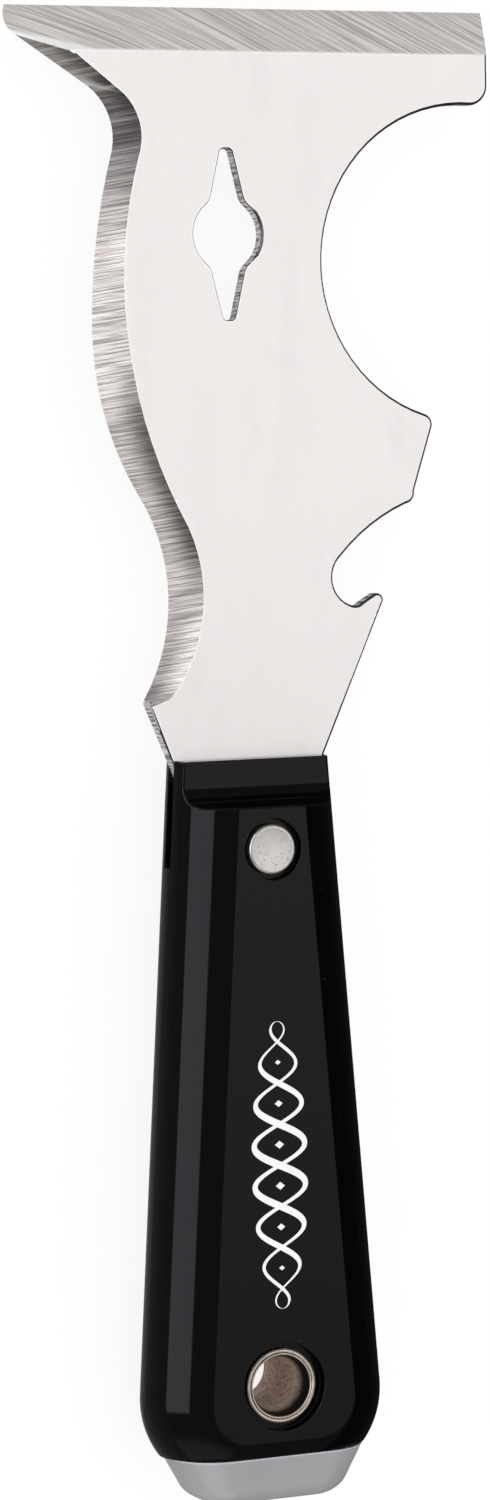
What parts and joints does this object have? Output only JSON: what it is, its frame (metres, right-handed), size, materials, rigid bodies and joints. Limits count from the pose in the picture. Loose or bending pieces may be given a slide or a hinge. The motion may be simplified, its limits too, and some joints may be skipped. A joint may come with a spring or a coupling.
{
  "type": "painters multi tool",
  "caption": "Flat ground steel scraper blade with a nail slot, roller notch and opener hook, in a two-part black handle with a hanging eyelet and a metal hammer cap.",
  "frame": {"origin": "below the middle of the tool's outline, on the flat that it lies on", "axes": "+Y towards the scraping edge, +Z out of the front face, +X to the right as seen from the front"},
  "size_m": [0.073, 0.2096, 0.0168],
  "materials": {
    "blade_steel": "mirror polished flat with coarse ground bevels",
    "handle_black": "gloss moulded",
    "rivet_nickel": "nickel plated, finely pitted",
    "eyelet_nickel": "warm nickel plated",
    "cap_zinc": "satin cast",
    "pin_steel": "plain drawn"
  },
  "bodies": {
    "root": {"blade": "blade_steel", "front_scale": "handle_black", "rear_scale": "handle_black", "rivet_post": "rivet_nickel", "rivet_cap": "rivet_nickel", "hang_eyelet": "eyelet_nickel", "eyelet_ring": "eyelet_nickel", "hammer_cap": "cap_zinc", "cap_pin": "pin_steel"}
  },
  "joints": []
}
